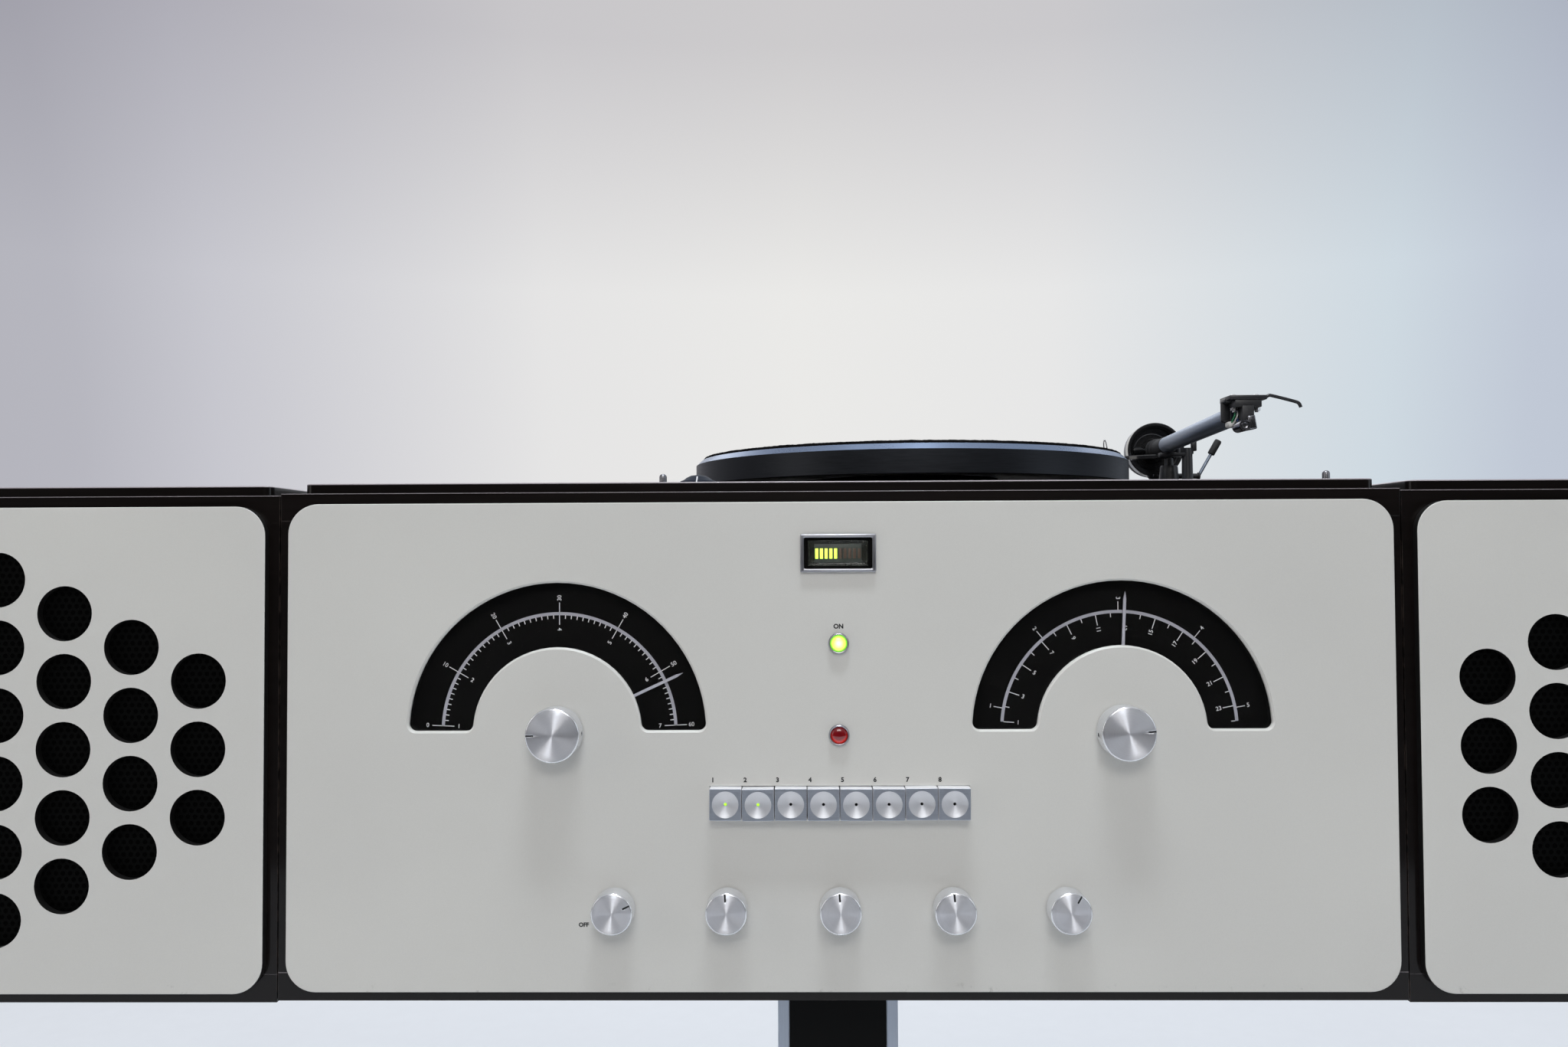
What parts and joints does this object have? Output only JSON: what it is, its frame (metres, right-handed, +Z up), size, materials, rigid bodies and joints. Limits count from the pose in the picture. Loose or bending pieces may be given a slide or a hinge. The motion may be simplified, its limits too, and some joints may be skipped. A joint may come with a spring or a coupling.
{
  "type": "radiogram",
  "caption": "Free-standing radiogram: centre cabinet with half-round dials, knobs, keys and belt-drive turntable, hung loudspeakers and a column stand.",
  "frame": {"origin": "on the floor, under the middle of the bounding box", "axes": "+X to the viewer's right, -Y out of the white front, +Z up"},
  "size_m": [1.22, 0.3856, 0.6795],
  "materials": {
    "dark_lacquer": "very dark brown gloss lacquer over wooden boards",
    "white_front": "warm off-white satin laminate on board",
    "back_board": "black painted hardboard",
    "dial_black": "black with printed scale lines",
    "clear_glass": "clear polished",
    "pointer_grey": "lavender-grey paint",
    "spun_aluminium": "spun face with bright chamfer",
    "brushed_aluminium": "satin, lightly brushed",
    "chrome_trim": "polished",
    "lamp_lens": "clear coloured plastic",
    "black_plastic": "moulded black",
    "circuit_green": "circuit board laminate",
    "bare_steel": "bright turned steel",
    "bearing_brass": "turned",
    "belt_rubber": "matte",
    "platter_black": "black satin anodised",
    "light_alloy": "turned",
    "mat_felt": "black felt",
    "arm_black": "dark satin anodised",
    "mesh_black": "black perforated sheet",
    "column_black": "black satin laminate",
    "base_black": "black powder coat"
  },
  "bodies": {
    "cabinet": {"cabinet_shell": "dark_lacquer", "front_panel": "white_front", "rear_panel": "back_board", "top_deck": "dark_lacquer", "dial_scales": "dial_black", "clear_windows": "clear_glass", "control_units": "black_plastic", "key_switch_bank": "black_plastic", "bezels": "chrome_trim", "lamp_lenses": "lamp_lens", "level_meter_module": "dial_black", "main_board": "circuit_green", "power_transformer": "bare_steel", "rear_terminals": "black_plastic", "platter_bearing": "bearing_brass", "drive_motor": "bare_steel", "drive_belt": "belt_rubber", "tonearm_base": "arm_black", "locating_pins": "bare_steel", "cabinet_fasteners": "bare_steel", "column_uprights": "brushed_aluminium", "column_core": "column_black", "stand_base": "base_black", "floor_glides": "belt_rubber"},
    "tuning_control": {"tuning_knob": "spun_aluminium"},
    "tuning_needle": {"tuning_pointer": "pointer_grey"},
    "memory_control": {"memory_knob": "spun_aluminium"},
    "memory_needle": {"memory_pointer": "pointer_grey"},
    "volume_control": {"volume_knob": "spun_aluminium"},
    "bass_control": {"bass_knob": "spun_aluminium"},
    "middle_control": {"middle_knob": "spun_aluminium"},
    "treble_control": {"treble_knob": "spun_aluminium"},
    "balance_control": {"balance_knob": "spun_aluminium"},
    "key_1": {"source_key_1": "brushed_aluminium"},
    "key_2": {"source_key_2": "brushed_aluminium"},
    "key_3": {"source_key_3": "brushed_aluminium"},
    "key_4": {"source_key_4": "brushed_aluminium"},
    "key_5": {"source_key_5": "brushed_aluminium"},
    "key_6": {"source_key_6": "brushed_aluminium"},
    "key_7": {"source_key_7": "brushed_aluminium"},
    "key_8": {"source_key_8": "brushed_aluminium"},
    "turntable": {"platter": "platter_black", "platter_mat": "mat_felt", "subplatter": "light_alloy"},
    "pulley": {"motor_pulley": "bare_steel"},
    "speed_control": {"speed_knob": "black_plastic"},
    "arm_yoke": {"tonearm_yoke": "arm_black"},
    "arm": {"tonearm_tube": "arm_black", "cartridge": "black_plastic"},
    "arm_weight": {"counterweight": "light_alloy"},
    "cue_control": {"cue_lever": "black_plastic"},
    "lift": {"lift_platform": "black_plastic"},
    "left_speaker": {"left_speaker_cabinet": "dark_lacquer", "left_speaker_baffle": "white_front", "left_speaker_mesh": "mesh_black", "left_speaker_drivers": "black_plastic"},
    "right_speaker": {"right_speaker_cabinet": "dark_lacquer", "right_speaker_baffle": "white_front", "right_speaker_mesh": "mesh_black", "right_speaker_drivers": "black_plastic"}
  },
  "joints": [
    {"name": "tuning_turn", "type": "hinge", "parent": "cabinet", "child": "tuning_control", "pos_m": [-0.1524, -0.1842, 0.485], "axis": [0, 1, 0], "range_deg": [-459.6, 68.4]},
    {"name": "tuning_pointer_swing", "type": "hinge", "parent": "cabinet", "child": "tuning_needle", "pos_m": [-0.1524, -0.1722, 0.485], "axis": [0, 1, 0], "range_deg": [-153.3, 22.9]},
    {"name": "memory_turn", "type": "hinge", "parent": "cabinet", "child": "memory_control", "pos_m": [0.1524, -0.1842, 0.485], "axis": [0, 1, 0], "range_deg": [-272.1, 255.9]},
    {"name": "memory_pointer_swing", "type": "hinge", "parent": "cabinet", "child": "memory_needle", "pos_m": [0.1524, -0.1722, 0.485], "axis": [0, 1, 0], "range_deg": [-90.8, 85.4]},
    {"name": "volume_turn", "type": "hinge", "parent": "cabinet", "child": "volume_control", "pos_m": [-0.121, -0.1842, 0.3912], "axis": [0, 1, 0], "range_deg": [-214, 86]},
    {"name": "bass_turn", "type": "hinge", "parent": "cabinet", "child": "bass_control", "pos_m": [-0.0605, -0.1842, 0.3912], "axis": [0, 1, 0], "range_deg": [-146.5, 153.5]},
    {"name": "middle_turn", "type": "hinge", "parent": "cabinet", "child": "middle_control", "pos_m": [0, -0.1842, 0.3912], "axis": [0, 1, 0], "range_deg": [-146, 154]},
    {"name": "treble_turn", "type": "hinge", "parent": "cabinet", "child": "treble_control", "pos_m": [0.0605, -0.1842, 0.3912], "axis": [0, 1, 0], "range_deg": [-145, 155]},
    {"name": "balance_turn", "type": "hinge", "parent": "cabinet", "child": "balance_control", "pos_m": [0.121, -0.1842, 0.3912], "axis": [0, 1, 0], "range_deg": [-180, 120]},
    {"name": "key_1_press", "type": "slide", "parent": "cabinet", "child": "key_1", "axis": [0, 1, 0], "range_m": [0, 0.0035], "stiffness_N_per_m": 300, "springref_m": -0.002},
    {"name": "key_2_press", "type": "slide", "parent": "cabinet", "child": "key_2", "axis": [0, 1, 0], "range_m": [0, 0.0035], "stiffness_N_per_m": 300, "springref_m": -0.002},
    {"name": "key_3_press", "type": "slide", "parent": "cabinet", "child": "key_3", "axis": [0, 1, 0], "range_m": [0, 0.0035], "stiffness_N_per_m": 300, "springref_m": -0.002},
    {"name": "key_4_press", "type": "slide", "parent": "cabinet", "child": "key_4", "axis": [0, 1, 0], "range_m": [0, 0.0035], "stiffness_N_per_m": 300, "springref_m": -0.002},
    {"name": "key_5_press", "type": "slide", "parent": "cabinet", "child": "key_5", "axis": [0, 1, 0], "range_m": [0, 0.0035], "stiffness_N_per_m": 300, "springref_m": -0.002},
    {"name": "key_6_press", "type": "slide", "parent": "cabinet", "child": "key_6", "axis": [0, 1, 0], "range_m": [0, 0.0035], "stiffness_N_per_m": 300, "springref_m": -0.002},
    {"name": "key_7_press", "type": "slide", "parent": "cabinet", "child": "key_7", "axis": [0, 1, 0], "range_m": [0, 0.0035], "stiffness_N_per_m": 300, "springref_m": -0.002},
    {"name": "key_8_press", "type": "slide", "parent": "cabinet", "child": "key_8", "axis": [0, 1, 0], "range_m": [0, 0.0035], "stiffness_N_per_m": 300, "springref_m": -0.002},
    {"name": "platter_spin", "type": "hinge", "parent": "cabinet", "child": "turntable", "pos_m": [0.0557, 0.0108, 0.631], "axis": [0, 0, 1], "continuous": true},
    {"name": "pulley_spin", "type": "hinge", "parent": "cabinet", "child": "pulley", "pos_m": [-0.03357, 0.04329, 0.629], "axis": [0, 0, 1], "continuous": true},
    {"name": "speed_turn", "type": "hinge", "parent": "cabinet", "child": "speed_control", "pos_m": [-0.081, -0.1142, 0.624], "axis": [0, 0, 1], "range_deg": [0, 90]},
    {"name": "arm_swing", "type": "hinge", "parent": "cabinet", "child": "arm_yoke", "pos_m": [0.2458, 0.0778, 0.6578], "axis": [0, 0, -1], "range_deg": [0, 53]},
    {"name": "arm_tilt", "type": "hinge", "parent": "arm_yoke", "child": "arm", "pos_m": [0.2458, 0.0778, 0.6578], "axis": [-0.9961, 0.0886, 0], "range_deg": [0, 10]},
    {"name": "counterweight_turn", "type": "hinge", "parent": "arm", "child": "arm_weight", "pos_m": [0.2458, 0.0778, 0.6578], "axis": [0.0886, 0.9961, 0], "range_deg": [-180, 180]},
    {"name": "cue_lever_turn", "type": "hinge", "parent": "cabinet", "child": "cue_control", "pos_m": [0.252, 0.0428, 0.636], "axis": [1, 0, 0], "range_deg": [0, 60]},
    {"name": "lift_slide", "type": "slide", "parent": "cabinet", "child": "lift", "axis": [0, 0, 1], "range_m": [-0.0046, 0]},
    {"name": "left_speaker_lift", "type": "slide", "parent": "cabinet", "child": "left_speaker", "axis": [0, 0, 1], "range_m": [0, 0.018]},
    {"name": "right_speaker_lift", "type": "slide", "parent": "cabinet", "child": "right_speaker", "axis": [0, 0, 1], "range_m": [0, 0.018]}
  ],
  "couplings": [
    {"joint": "tuning_pointer_swing", "follows": "tuning_turn", "ratio": 0.33333},
    {"joint": "memory_pointer_swing", "follows": "memory_turn", "ratio": 0.33333},
    {"joint": "pulley_spin", "follows": "platter_spin", "ratio": 10.649},
    {"joint": "lift_slide", "follows": "cue_lever_turn", "m_per_rad": -0.0042972}
  ]
}
